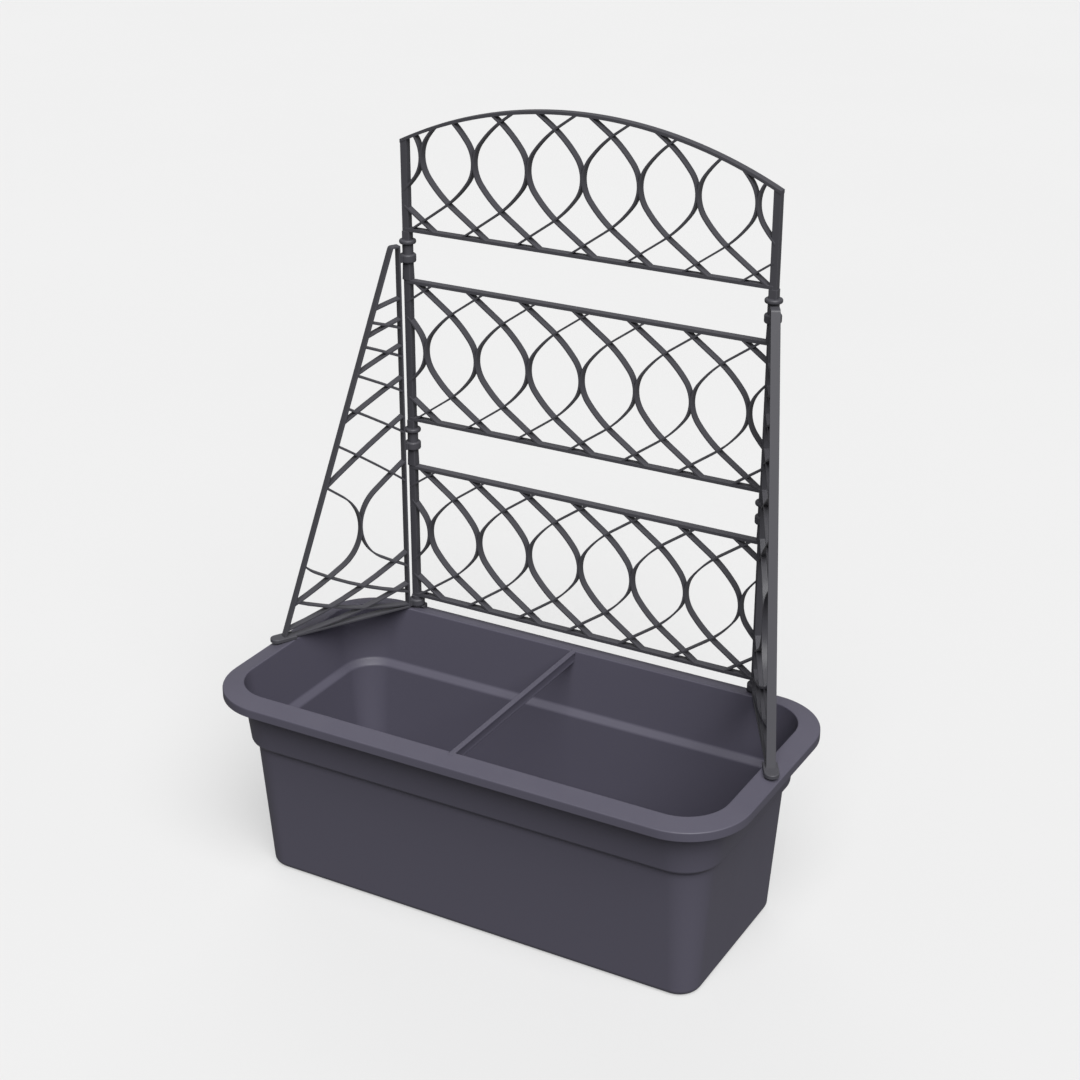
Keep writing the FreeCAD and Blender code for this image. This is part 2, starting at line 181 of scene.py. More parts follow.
# %% [markdown]
# ## The trough
# The trough is one thin shell: a floor, a wall that leans outwards, a step, a
# collar, and a broad lip that falls a little towards its hanging edge. Seen
# from above, each of these is the same rounded rectangle, only larger or
# smaller. So the shell can grow out of one flat slab with round corners: its
# top face is inset again and again, each time with some depth, down the inside
# to the floor, and its bottom face in the same way down the outside. The two
# walks make a closed shell with a real wall thickness and no seams.

# %% The slab between the top and the bottom of the lip's edge
LENGTH, WIDTH = 800.0, 393.0     # over the lip
LIP_R = 92.0                     # round corners of the lip, seen from above
EDGE_Z, SKIRT_Z = 290.3, 277.3   # top and bottom of its hanging edge
CORNER_X, CORNER_Y = LENGTH / 2 - LIP_R, WIDTH / 2 - LIP_R

trough = block("trough_shell", (-LENGTH / 2, -WIDTH / 2, SKIRT_Z),
               (LENGTH / 2, WIDTH / 2, EDGE_Z))
pick(trough, "EDGE", upright)
bpy.ops.mesh.bevel(offset=LIP_R * MM, segments=18, affect="EDGES")
lay_down()
print("lip outline", len(trough.data.vertices) // 2, "points")


# %% Walk the shell downwards, ring by ring
def walk(piece, up, rings):
    """Inset the top or bottom face to each (radius, height) in turn."""
    sign = 1 if up else -1
    pick(piece, "FACE", lambda f: f.normal.z * sign > 0.9)
    radius, height = LIP_R, EDGE_Z if up else SKIRT_Z
    for next_radius, next_height in rings:
        bpy.ops.mesh.inset(thickness=(radius - next_radius) * MM,
                           depth=sign * (next_height - height) * MM)
        radius, height = next_radius, next_height
    lay_down()


# %% The rings, each a (radius from the corner centres, height)
CREST, UNDER_CREST = (61.5, 296.5), (65.0, 292.0)
EDGE_IN, UNDER_EDGE = (89.0, SKIRT_Z), (89.0, 287.0)
STEP_TOP, STEP_FOOT = (52.0, 208.0), (43.0, 200.0)
STEP_TOP_OUT, STEP_FOOT_OUT = (55.5, 208.0), (46.5, 200.0)
FLOOR_IN, FOOT_OUT = (28.9, 5.0), (32.0, 0.0)
STAND_IN, RECESS = (10.0, 0.0), (9.0, 2.0)   # inner edge of the standing ring

walk(trough, True, [CREST, STEP_TOP, STEP_FOOT, FLOOR_IN])
walk(trough, False, [EDGE_IN, UNDER_EDGE, UNDER_CREST, STEP_TOP_OUT,
                     STEP_FOOT_OUT, FOOT_OUT, STAND_IN, RECESS])
print("shell of", len(trough.data.polygons), "faces")

# %% [markdown]
# A mould has no knife edges. Each ring of edges is found by its height and by
# how far it stands from the corner centres, and is bevelled in several
# segments: a small rounding on the lip, a larger one on the step and the foot.


# %% Round the rings
def ring_radius(point):
    """How far out a point is, from the corner centres in plan."""
    x = max(abs(point.x) / MM - CORNER_X, 0)
    y = max(abs(point.y) / MM - CORNER_Y, 0)
    return sqrt(x * x + y * y)


def round_ring(piece, ring, width, steps):
    """Bevel one ring, by a width in millimetres and a number of segments."""
    radius, height = ring

    def on_ring(edge):
        return all(abs(p.z / MM - height) < 0.05
                   and abs(ring_radius(p) - radius) < 0.6 for p in ends(edge))
    ease(piece, width, steps, on_ring)


STEP_ROUND = 2.1                 # the same on all four rings of the step
for ring, width, steps in (
        ((LIP_R, EDGE_Z), 1.5, 4), ((LIP_R, SKIRT_Z), 0.8, 3), (EDGE_IN, 0.6, 2),
        (UNDER_EDGE, 1.2, 3), (CREST, 2.0, 4), (UNDER_CREST, 3.0, 3),
        (STEP_TOP_OUT, STEP_ROUND, 4), (STEP_FOOT_OUT, STEP_ROUND, 4),
        (FOOT_OUT, 10.0, 7), (STEP_TOP, STEP_ROUND, 4),
        (STEP_FOOT, STEP_ROUND, 4), (FLOOR_IN, 7.5, 6)):
    round_ring(trough, ring, width, steps)
print("rounded shell of", len(trough.data.polygons), "faces")

# %% [markdown]
# Under the lip, in the middle of each long side, a small block is moulded on,
# and a pocket in it takes the end of the cross brace. The floor has eight
# drain holes, and the back lip has a hole for the foot of each post. These are
# Boolean steps: first the blocks are joined on, then every hole is cut.

# %% Brace seats
CREST_Y = 166.0                  # inner crest of the lip, on the long sides
FIT = 0.05                       # clearance round whatever goes into a hole
BRACE_W, BRACE_END = 8.0, 173.0  # width, and half of the length
BRACE_TOP, FLANGE_T = 295.9, 3.0
ABOVE = 300.0                    # higher than any part of the lip
SEAT_IN, SEAT_OUT = CREST_Y + 2, CREST_Y + 12
SEAT_W, SEAT_LOW, SEAT_HIGH = 16.0, 282.5, 292.6

for side in (-1, 1):
    y0, y1 = sorted((side * SEAT_IN, side * SEAT_OUT))
    seat = block("seat", (-SEAT_W / 2, y0, SEAT_LOW), (SEAT_W / 2, y1, SEAT_HIGH))
    ease(seat, 1.0, 2, upright)
    combine(trough, seat)
for side in (-1, 1):
    y0, y1 = sorted((0, side * (BRACE_END + FIT)))
    pocket = block("pocket", (-BRACE_W / 2 - FIT, y0, BRACE_TOP - FLANGE_T),
                   (BRACE_W / 2 + FIT, y1, ABOVE))
    combine(trough, pocket, "DIFFERENCE")
print("trough with seats", len(trough.data.polygons), "faces")

# %% Drain holes and post holes
POST_X, POST_Y = 277.0, 184.0
PIN_R = 5.0                      # the pin below a post's foot
DRAIN_R, DRAIN_PITCH, DRAIN_SIDE = 5.0, 160.0, 62.0


def drill(piece, x, y, radius, low, high, sides):
    """Cut an upright round hole, in millimetres."""
    hole = round_bar("hole", radius, low, high, sides)
    hole.location = mm(x, y, 0)
    settle(hole)
    combine(piece, hole, "DIFFERENCE")


for column in range(4):
    for side in (-1, 1):
        drill(trough, (column - 1.5) * DRAIN_PITCH, side * DRAIN_SIDE, DRAIN_R,
              -1, 8, 24)
for side in (-1, 1):
    drill(trough, side * POST_X, POST_Y, PIN_R + FIT, 270, ABOVE, 32)
print("trough of", len(trough.data.polygons), "faces")

# %% [markdown]
# ## The cross brace
# A narrow beam spans the trough from crest to crest and keeps its long sides
# from bulging. Its section is a stout T: a top flange that lies in the two
# pockets, a thick web a little narrower than it, and a faint bead along the
# bottom. The flange and the bead are rounded as blocks of their own, and the
# web is joined on between them afterwards.

# %% Model the brace
WEB_T, WEB_END = 5.4, 162.5      # thickness, and half of the length
WEB_LOW, WEB_HIGH = 281.0, 294.0     # inside the bead and inside the flange
BEAD_W, BEAD_LOW, BEAD_HIGH = 6.2, 279.9, 282.9

brace = block("brace_beam", (-BRACE_W / 2, -BRACE_END, BRACE_TOP - FLANGE_T),
              (BRACE_W / 2, BRACE_END, BRACE_TOP))
ease(brace, 0.8, 3)
web = block("web", (-WEB_T / 2, -WEB_END, WEB_LOW), (WEB_T / 2, WEB_END, WEB_HIGH))
bead = block("bead", (-BEAD_W / 2, -WEB_END, BEAD_LOW),
             (BEAD_W / 2, WEB_END, BEAD_HIGH))
ease(bead, 0.8, 3)
combine(brace, web)
combine(brace, bead)
print("brace of", len(brace.data.polygons), "faces")

# %% [markdown]
# ## The lattice strip
# Every panel is filled with tall bowed strips, set back to back in pairs. A
# pair touches at mid height and swings apart above and below, where it crosses
# its neighbours. A strip begins as its own cross-section, a small rounded
# rectangle on edge. It is spun twice, first round a tight bend and then round
# a wide one, and extruded for the straight run. The same half turned upside
# down makes the lower half. That is how a bent strip is made, and it keeps the
# section constant all along.

# %% The section, the bends and the run of half a strip
STRIP_T, STRIP_D = 2.7, 11.6     # thickness in the panel, and depth
KISS_OFF = 0.9                   # touching point to the strip's middle line
TIGHT_R, TIGHT_TO = 48.0, 36.3   # first bend, up to this angle from upright
WIDE_R, WIDE_TO = 171.0, 54.7    # second bend
STRAIGHT = 147.0                 # past the rails, to be trimmed off
WELD = 0.002 * MM                # points nearer than this become one


def section(name, thick, deep, rounding=0.35):
    """A rounded rectangle of edges, level at the origin, left in edit mode."""
    lay_down()
    bpy.ops.mesh.primitive_plane_add(size=1)
    piece = bpy.context.object
    piece.name = name
    piece.scale = (thick * MM, deep * MM, 1)
    settle(piece)
    pick(piece, "VERT", everything)
    bpy.ops.mesh.bevel(offset=rounding * MM, segments=2, affect="VERTICES")
    bpy.ops.mesh.select_all(action="SELECT")
    bpy.ops.mesh.delete(type="ONLY_FACE")
    bpy.ops.mesh.select_all(action="SELECT")
    return piece


def bend(angle, centre, steps):
    """Spin what is selected towards +X about a centre, (x, z)."""
    bpy.ops.mesh.spin(steps=steps, angle=radians(angle), axis=(0, -1, 0),
                      center=mm(centre[0], 0, centre[1]))


def run_on(angle, reach):
    """Extrude what is selected in a straight line."""
    bpy.ops.mesh.extrude_region_move(TRANSFORM_OT_translate={
        "value": mm(sin(radians(angle)) * reach, 0, cos(radians(angle)) * reach)})


# %% Turn the half over, and close the strip
strip = section("strip", STRIP_T, STRIP_D)
bpy.ops.transform.translate(value=mm(KISS_OFF, 0, 0))
bend(TIGHT_TO, (KISS_OFF + TIGHT_R, 0), 9)
a = radians(TIGHT_TO)
turned_to = (KISS_OFF + TIGHT_R * (1 - cos(a)), TIGHT_R * sin(a))
bend(WIDE_TO - TIGHT_TO, (turned_to[0] + WIDE_R * cos(a),
                          turned_to[1] - WIDE_R * sin(a)), 7)
run_on(WIDE_TO, STRAIGHT)
bpy.ops.mesh.select_all(action="SELECT")
bpy.ops.mesh.duplicate()
bpy.ops.transform.resize(value=(1, 1, -1), center_override=(0, 0, 0))
bpy.ops.mesh.select_all(action="SELECT")
bpy.ops.mesh.remove_doubles(threshold=WELD)
bpy.ops.mesh.fill_holes(sides=0)
bpy.ops.mesh.normals_make_consistent(inside=False)
lay_down()
print("strip of", len(strip.data.polygons), "faces,",
      [round(v / MM) for v in strip.dimensions])

# %% [markdown]
# ## The panels
# Nine pairs of strips stand 83 mm apart. They are joined into one solid,
# trimmed to the space between the rails, and joined to the rails and uprights.
# A square spigot at the ends of each upright goes into the foot or the
# connectors. The middle panel is a copy of the bottom one.

# %% Cross the strips, column by column
RAIL_Z, PITCH, PANEL_H = 316.0, 281.0, 206.0
KISS_H, KISS_X = 105.0, 250.0 / 3    # height above the rail, and spacing
STILE, RAIL_H, RAIL_D = 10.4, 5.0, 11.6
CUT_Y = 20.0                     # a trimming block reaches this far each way


def crossed_strips(name, base):
    """All the strips of one panel as a single solid, untrimmed."""
    field = None
    for column in range(-4, 5):
        for mirrored in (False, True):
            one = copy_of(strip, name, mirrored=mirrored)
            one.location = mm(column * KISS_X, POST_Y, base + KISS_H)
            settle(one)
            field = combine(field, one) if field else one
    field.name = name
    return field


# %% Rails, uprights and spigots
SPIGOT_W, SPIGOT_L = 8.0, 12.0
STILE_ROUND, SPIGOT_ROUND = 0.8, 0.6


def add_rail(panel, height):
    rail = block("rail", (-POST_X, POST_Y - RAIL_D / 2, height - RAIL_H / 2),
                 (POST_X, POST_Y + RAIL_D / 2, height + RAIL_H / 2))
    ease(rail, 0.5, 2)
    combine(panel, rail)


def square_bar(name, width, low, high, rounding, steps=2):
    """An upright square bar on the right-hand post's axis."""
    bar = block(name, (POST_X - width / 2, POST_Y - width / 2, low),
                (POST_X + width / 2, POST_Y + width / 2, high))
    ease(bar, rounding, steps, upright)
    return bar


def spigot(low, high, clear=0.0):
    """A square spigot or, with a clearance, the cutter for its bore."""
    return square_bar("spigot", SPIGOT_W + 2 * clear, low, high, SPIGOT_ROUND)


def on_side(piece, side):
    """Leave a piece on the right, or swap it for its mirror image."""
    if side > 0:
        return piece
    twin = copy_of(piece, piece.name, mirrored=True)
    bpy.data.objects.remove(piece)
    return twin


# %% Build the bottom panel and copy it for the middle one
low_panel = crossed_strips("panel_low", RAIL_Z)
combine(low_panel, block("space", (-POST_X, POST_Y - CUT_Y, RAIL_Z),
                         (POST_X, POST_Y + CUT_Y, RAIL_Z + PANEL_H)), "INTERSECT")
foot_z, head_z = RAIL_Z - RAIL_H / 2, RAIL_Z + PANEL_H + RAIL_H / 2
add_rail(low_panel, RAIL_Z)
add_rail(low_panel, RAIL_Z + PANEL_H)
for side in (-1, 1):
    stile = square_bar("upright", STILE, foot_z, head_z, STILE_ROUND)
    combine(low_panel, on_side(stile, side))
    combine(low_panel, on_side(spigot(foot_z - SPIGOT_L, head_z + SPIGOT_L), side))
mid_panel = copy_of(low_panel, "panel_mid", (0, 0, PITCH))
print("panel of", len(low_panel.data.polygons), "faces")

# %% [markdown]
# The top panel ends in a shallow arch. The arch is a section spun about a
# centre far below, first to one side and then mirrored. The strips are trimmed
# by a drum with the arch's own radius, and each upright is cut off along the
# arch with a bisecting plane.

# %% The arch of the top panel
ARCH_TOP, ARCH_R, ARCH_T = 1070.0, 640.0, 4.6
ARCH_Z = ARCH_TOP - ARCH_R       # height of its centre
ARCH_TO = 28                     # degrees to each side, past the uprights
arch = section("arch", ARCH_T, RAIL_D, 0.5)
bpy.ops.transform.rotate(value=pi / 2, orient_axis="Y", center_override=(0, 0, 0))
bpy.ops.transform.translate(value=mm(0, 0, ARCH_R - ARCH_T / 2))
bend(ARCH_TO, (0, 0), ARCH_TO)
bpy.ops.mesh.select_all(action="SELECT")
bpy.ops.mesh.duplicate()
bpy.ops.transform.resize(value=(-1, 1, 1), center_override=(0, 0, 0))
bpy.ops.mesh.select_all(action="SELECT")
bpy.ops.mesh.remove_doubles(threshold=WELD)
for side in (-1, 1):
    bpy.ops.mesh.select_all(action="SELECT")
    bpy.ops.mesh.bisect(plane_co=mm(side * (POST_X + STILE / 2), 0, 0),
                        plane_no=(side, 0, 0), clear_outer=True, use_fill=True)
bpy.ops.mesh.select_all(action="SELECT")
bpy.ops.mesh.normals_make_consistent(inside=False)
lay_down()
arch.location = mm(0, POST_Y, ARCH_Z)
settle(arch)
print("arch", [round(v / MM, 1) for v in arch.dimensions])

# %% Trim the strips to the arch, and add the uprights
TOP_Z = RAIL_Z + 2 * PITCH
DRUM_Y = 30.0                    # half of the drum's length
STILE_R = ARCH_R - 2.5           # the uprights end inside the arch
top_panel = crossed_strips("panel_arched", TOP_Z)
combine(top_panel, block("space", (-POST_X, POST_Y - CUT_Y, TOP_Z),
                         (POST_X, POST_Y + CUT_Y, ARCH_TOP)), "INTERSECT")
drum = round_bar("drum", ARCH_R - ARCH_T / 2, -DRUM_Y, DRUM_Y, 360)
drum.rotation_euler = (pi / 2, 0, 0)
drum.location = mm(0, POST_Y, ARCH_Z)
settle(drum)
combine(top_panel, drum, "INTERSECT")
combine(top_panel, arch)
add_rail(top_panel, TOP_Z)
lean = asin(POST_X / ARCH_R)
for side in (-1, 1):
    stile = square_bar("upright", STILE, TOP_Z - RAIL_H / 2, ARCH_TOP, STILE_ROUND)
    pick(stile, "FACE", everything)
    bpy.ops.mesh.bisect(
        plane_co=mm(STILE_R * sin(lean), 0, ARCH_Z + STILE_R * cos(lean)),
        plane_no=(sin(lean), 0, cos(lean)), clear_outer=True, use_fill=True)
    lay_down()
    combine(top_panel, on_side(stile, side))
    combine(top_panel, on_side(spigot(TOP_Z - RAIL_H / 2 - SPIGOT_L, TOP_Z), side))
bpy.data.objects.remove(strip)
print("arched panel of", len(top_panel.data.polygons), "faces")

# %% [markdown]
# ## The posts' feet
# A post stands on the back lip on a small square plate with rounded corners.
# The lip falls outwards, so the plate's underside is cut to the same slope. A
# pin below it goes through the lip, and a round neck above it is the lowest
# hinge of the wing. The neck is bored square for the panel's spigot.

# %% Model one foot, and mirror it
NECK_R = 7.8
PLATE_W, PLATE_TOP, PLATE_R = 24.4, 297.5, 5.0
PIN_LOW, INSIDE_PLATE = 282.3, 295.0     # pin and neck meet inside the plate
LIP_W, LIP_DROP = 30.5, 6.2      # width and fall of the lip's sloping top
SOCKET = 12.4                    # depth of a bore, a little over the spigot
BEYOND = 2.0                     # how far a piece or a cutter is let run on


def on_post(piece):
    """Move a piece from the origin onto the right-hand post's axis."""
    piece.location = mm(POST_X, POST_Y, 0)
    settle(piece)
    return piece


def lip_top(y):
    """Height of the lip's sloping top above a place in Y."""
    return CREST[1] - (y - CREST_Y) * LIP_DROP / LIP_W


foot = square_bar("foot_right", PLATE_W, 280, PLATE_TOP, PLATE_R, 6)
pick(foot, "FACE", everything)
bpy.ops.mesh.bisect(plane_co=mm(0, POST_Y, lip_top(POST_Y)),
                    plane_no=(0, LIP_DROP, LIP_W), clear_inner=True, use_fill=True)
lay_down()
ease(foot, 1.0, 3, lambda e: all(p.z > (PLATE_TOP - 0.1) * MM for p in ends(e)))
pin = round_bar("pin", PIN_R, PIN_LOW, INSIDE_PLATE, 32)
ease(pin, 1.2, 3, lambda e: all(p.z < (PIN_LOW + 0.1) * MM for p in ends(e)))
combine(foot, on_post(pin))
combine(foot, on_post(round_bar("neck", NECK_R, INSIDE_PLATE, foot_z, 48)))
combine(foot, spigot(foot_z - SOCKET, 320, FIT), "DIFFERENCE")
foot_left = copy_of(foot, "foot_left", mirrored=True)
print("foot of", len(foot.data.polygons), "faces")

# %% [markdown]
# ## Connectors and sleeves
# Between two panels each post is joined by a connector: a square sleeve above,
# a half-round bead, and a round neck below that the wing's hinge eye turns on.
# A second, slightly flared sleeve slides over the lower panel's spigot and
# holds the eye from below. The bead is a disc whose rims are bevelled until it
# is nearly half round.


# %% Sizes of one joint, from the top of the lower panel's rail
PANEL_GAP, RING_UP = 70.0, 51.7  # to the next rail, and to the bead
RING_R, RING_H, NECK_H = 12.0, 6.2, 26.6
PLAY = 0.5                       # between a hinge eye and the sleeve below it
SLEEVE_W, SLEEVE_FOOT = 12.0, 13.2   # the sleeve flares from one to the other
SLEEVE_ROUND, TONGUE_L = 1.4, 11.6


def neck_foot(base):
    """Where the neck stands on the sleeve below it."""
    return base + RING_UP - NECK_H - PLAY


# %% Model the pieces of one joint
def connector(name, base):
    """The bead with its neck and tongue below and a square collar above."""
    top, ring, seat = base + PANEL_GAP, base + RING_UP, neck_foot(base)
    head = round_bar(name, RING_R, ring, ring + RING_H, 64)
    ease(head, 2.4, 5, level)
    on_post(head)
    combine(head, on_post(round_bar("neck", NECK_R, seat, ring + BEYOND, 48)))
    collar = square_bar("collar", SLEEVE_W, ring + 2 * BEYOND, top, SLEEVE_ROUND, 4)
    ease(collar, 0.5, 2, level)
    combine(head, collar)
    combine(head, spigot(seat - TONGUE_L, seat + BEYOND))
    return combine(head, spigot(top - SOCKET, top + BEYOND, FIT), "DIFFERENCE")


def sleeve(name, base):
    """The flared sleeve between the rail and the neck."""
    seat, half = neck_foot(base), SLEEVE_FOOT / 2
    tube = block(name, (-half, -half, base), (half, half, seat))
    pick(tube, "FACE", lambda f: f.normal.z > 0.9)
    narrower = SLEEVE_W / SLEEVE_FOOT
    bpy.ops.transform.resize(value=(narrower, narrower, 1),
                             center_override=mm(0, 0, seat))
    lay_down()
    ease(tube, SLEEVE_ROUND, 4, upright)
    ease(tube, 0.5, 2, level)
    on_post(tube)
    return combine(tube, spigot(base - BEYOND, seat + BEYOND, FIT), "DIFFERENCE")


# %% Two joints on each post
joints = {}
for row, base in (("lower", head_z), ("upper", head_z + PITCH)):
    for word, make in (("connector", connector), ("sleeve", sleeve)):
        right = make(word + "_body_" + row + "_right", base)
        left = copy_of(right, word + "_body_" + row + "_left", mirrored=True)
        joints[word + "_" + row + "_right"] = right
        joints[word + "_" + row + "_left"] = left
print("joint pieces", len(joints))

# %% [markdown]
# ## The wings
# A wing is a tall triangle framed by one flat strip on edge: upright beside
# the post, level along the lip, and sloping on the outer side, which nearly
# meets the upright at the top. It is modelled flat, with the post's axis at
# the origin, and turned into place at the end. Its lattice strips bend near
# the touching point and then run on in one long curve, so each is spun twice,
# about a near centre and a far one.

# %% The frame of a wing, cut from a block by planes
WING_D, WING_LOW, WING_TOP = 12.4, 298.0, 856.6
WING_IN, WING_TOE, WING_APEX = 14.6, 222.0, 28.0
FRAME_T, LOW_RAIL, SLOPE_T = 2.7, 2.9, 3.0   # upright and top, low rail, slope
FALL = (WING_TOE - WING_APEX) / (WING_TOP - WING_LOW)
THROUGH = 30.0                   # depth of a cutter that passes right through


def leaning_block(name, x0, z0, z1, deep, inset):
    """A block with its outer side cut to the wing's slope."""
    piece = block(name, (x0, -deep / 2, z0), (WING_TOE + 5, deep / 2, z1))
    pick(piece, "FACE", everything)
    bpy.ops.mesh.bisect(plane_co=mm(WING_TOE - inset, 0, WING_LOW),
                        plane_no=(1, 0, FALL), clear_outer=True, use_fill=True)
    lay_down()
    return piece


wing = leaning_block("wing_frame_left", WING_IN, WING_LOW, WING_TOP, WING_D, 0)
ease(wing, 3.0, 5, lambda e: all(p.z > (WING_TOP - 1) * MM and p.x > 20 * MM
                                 for p in ends(e)))
window = leaning_block("window", WING_IN + FRAME_T, WING_LOW + LOW_RAIL,
                       WING_TOP - FRAME_T, THROUGH, SLOPE_T)
combine(wing, window, "DIFFERENCE")
ease(wing, 0.4, 2, lambda e: abs(ends(e)[0].y - ends(e)[1].y) < 0.1 * MM
     and abs(ends(e)[0].y) > (WING_D / 2 - 0.1) * MM)
print("wing frame of", len(wing.data.polygons), "faces")


# %% Strips with a near and a far bend
NEAR_R = 65.0
SHY = 1.4                        # the strips are less deep than the frame


def long_strip(name, angle, far_radius, reach, steps):
    """A bend through angle, then a long curve of the far radius."""
    piece = section(name, STRIP_T, WING_D - SHY)
    bend(angle, (NEAR_R, 0), 12)
    a = radians(angle)
    end = (NEAR_R * (1 - cos(a)), NEAR_R * sin(a))
    bend(reach / far_radius * 180 / pi,
         (end[0] + far_radius * cos(a), end[1] - far_radius * sin(a)), steps)
    bpy.ops.mesh.select_all(action="SELECT")
    bpy.ops.mesh.fill_holes(sides=0)
    bpy.ops.mesh.normals_make_consistent(inside=False)
    lay_down()
    return piece


def place(piece, x, side, up):
    """A copy at column x, bent to one side, and above or below."""
    twin = copy_of(piece, "arm")
    twin.scale = (side, 1, up)
    twin.location = mm(x, 0, KISS_Z)
    settle(twin)
    pick(twin, "FACE", everything)
    bpy.ops.mesh.normals_make_consistent(inside=False)
    lay_down()
    return twin


# %% [markdown]
# Only one pair of strips touches inside the wing. The others belong to pairs
# that would stand further out on both sides, and only their ends cross the
# frame. So each strip is made as long as its column is far, and all of them
# are trimmed by one leaning block that ends inside the frame's own strip.

# %% Fill the frame with strips
KISS_COL, KISS_Z, COL_PITCH = 90.0, 446.0, 107.0
UP_TO, UP_R, UP_COLUMNS = 52.0, 1550.0, 6        # arms above the touching point
DOWN_TO, DOWN_R, DOWN_COLUMNS = 58.0, 600.0, 3   # and below it
SPARE = 1.3                      # strip length over the distance it covers
END_X, END_Z = 1.4, 1.5          # how deep in the frame the strips end

lattice = None
for side in (-1, 1):
    for k in range(UP_COLUMNS):
        reach = (k + 1) * COL_PITCH * SPARE
        arms = [("high", UP_TO, UP_R, KISS_COL - side * k * COL_PITCH, side, 1)]
        if k < DOWN_COLUMNS:
            arms.append(("low", DOWN_TO, DOWN_R, KISS_COL + side * k * COL_PITCH,
                         -side, -1))
        for name, angle, far, x, bent, up in arms:
            arm = long_strip(name, angle, far, reach, 6 + 3 * k)
            arm_in_place = place(arm, x, bent, up)
            bpy.data.objects.remove(arm)
            lattice = combine(lattice, arm_in_place) if lattice else arm_in_place
combine(lattice, leaning_block("space", WING_IN + END_X, WING_LOW + END_Z,
                               WING_TOP - END_X, THROUGH, END_Z), "INTERSECT")
combine(wing, lattice)
print("wing with strips", len(wing.data.polygons), "faces")

# %% [markdown]
# Three eyes hold the wing to its post. Each is a short ring round a neck,
# joined to the upright by a web. The upper two sit just above the sleeves. The
# rest of the upright stands a finger's breadth off, so daylight shows between
# it and the post.

# %% Hinge eyes and their bores
EYE_R, EYE_H, LOW_EYE_H = 11.6, 12.0, 10.7
EYE_WEB = 8.0                    # width of the web behind an eye

eyes = [(WING_LOW, WING_LOW + LOW_EYE_H)]
for base in (head_z, head_z + PITCH):
    eye_low = neck_foot(base) + PLAY
    eyes.append((eye_low, eye_low + EYE_H))
for low, high in eyes:
    eye = round_bar("eye", EYE_R, low, high, 56)
    ease(eye, 2.4, 4, level)
    combine(wing, eye)
    combine(wing, block("web", (0, -EYE_WEB / 2, low + 1),
                        (WING_IN + 1, EYE_WEB / 2, high - 1)))
for low, high in eyes:
    combine(wing, round_bar("bore", NECK_R + FIT, low - 1, high + 1, 48),
            "DIFFERENCE")
print("hinged wing of", len(wing.data.polygons), "faces, eyes at",
      [round(low, 1) for low, high in eyes])

# %% [markdown]
# The toe of the wing sits in a shoe, a small cap with a round nose, just above
# the front lip.

# %% The shoe
SHOE_LOW, SHOE_HIGH = 296.9, 301.9
SHOE_HEEL, NOSE_X, NOSE_R = 204.0, 231.0, 10.0
SLOT_HEEL, SLOT_TOP = 200.0, 310.0   # the slot's cutter runs out past the shoe
SLOT_Y = WING_D / 2 + FIT

shoe = block("shoe_left", (SHOE_HEEL, -NOSE_R, SHOE_LOW), (NOSE_X, NOSE_R, SHOE_HIGH))
nose = round_bar("nose", NOSE_R, SHOE_LOW, SHOE_HIGH, 48)
nose.location = mm(NOSE_X, 0, 0)
settle(nose)
combine(shoe, nose)
ease(shoe, 1.2, 4, lambda e: all(p.z > (SHOE_HIGH - 0.1) * MM for p in ends(e)))
combine(shoe, block("slot", (SLOT_HEEL, -SLOT_Y, WING_LOW),
                    (WING_TOE + FIT, SLOT_Y, SLOT_TOP)), "DIFFERENCE")
print("shoe of", len(shoe.data.polygons), "faces")

# %% Turn the wing and its shoe onto the left post, and mirror them
SPLAY = 29.2                     # degrees outwards from straight ahead
for piece in (wing, shoe):
    piece.rotation_euler = (0, 0, radians(-90 - SPLAY))
    piece.location = mm(-POST_X, POST_Y, 0)
    settle(piece)
wing_right = copy_of(wing, "wing_frame_right", mirrored=True)
shoe_right = copy_of(shoe, "shoe_right", mirrored=True)
print("wings", [round(v / MM) for v in wing.dimensions])

# %% [markdown]
# ## Smooth shading
# Rounded edges should look round and flat faces flat. Faces that meet at a
# small angle are shaded as one surface, and the large faces are given the most
# weight, so that a rounding doesn't cast a false gradient across a wall.


# %% Shade a piece
def shade(piece, angle=35):
    take_up(piece)
    bpy.ops.object.shade_smooth_by_angle(angle=radians(angle))
    step = piece.modifiers.new("weights", "WEIGHTED_NORMAL")
    step.keep_sharp = True
    bpy.ops.object.modifier_apply(modifier=step.name)


# %% [markdown]
# ## The plastic
# Both plastics are dark grey with a trace of violet. What makes them read as
# moulded plastic is small: a grain left by the mould, a gloss that changes
# slowly over the surface, edges that handling has polished lighter, and a
# little dust where it can settle. Each effect is a node group with named
# inputs, so that both materials use it with their own values.


# %% A helper for node groups
def new_group(name, inputs, outputs):
    """A node group with float, colour and vector sockets."""
    tree = bpy.data.node_groups.new(name, "ShaderNodeTree")
    kinds = {"float": "NodeSocketFloat", "colour": "NodeSocketColor",
             "vector": "NodeSocketVector"}
    for label, kind, value in inputs:
        socket = tree.interface.new_socket(label, in_out="INPUT",
                                           socket_type=kinds[kind])
        if value is not None:
            socket.default_value = value
    for label, kind in outputs:
        tree.interface.new_socket(label, in_out="OUTPUT", socket_type=kinds[kind])
    start = tree.nodes.new("NodeGroupInput")
    end = tree.nodes.new("NodeGroupOutput")
    return tree, start.outputs, end.inputs


def node(tree, kind, **settings):
    made = tree.nodes.new("ShaderNode" + kind)
    for key, value in settings.items():
        setattr(made, key, value)
    return made


def maths(tree, operation, a, b, clamp=False):
    """A Math node of two inputs, each a socket or a number."""
    made = node(tree, "Math", operation=operation, use_clamp=clamp)
    for socket, value in zip(made.inputs, (a, b)):
        if isinstance(value, (int, float)):
            socket.default_value = value
        else:
            tree.links.new(value, socket)
    return made.outputs[0]


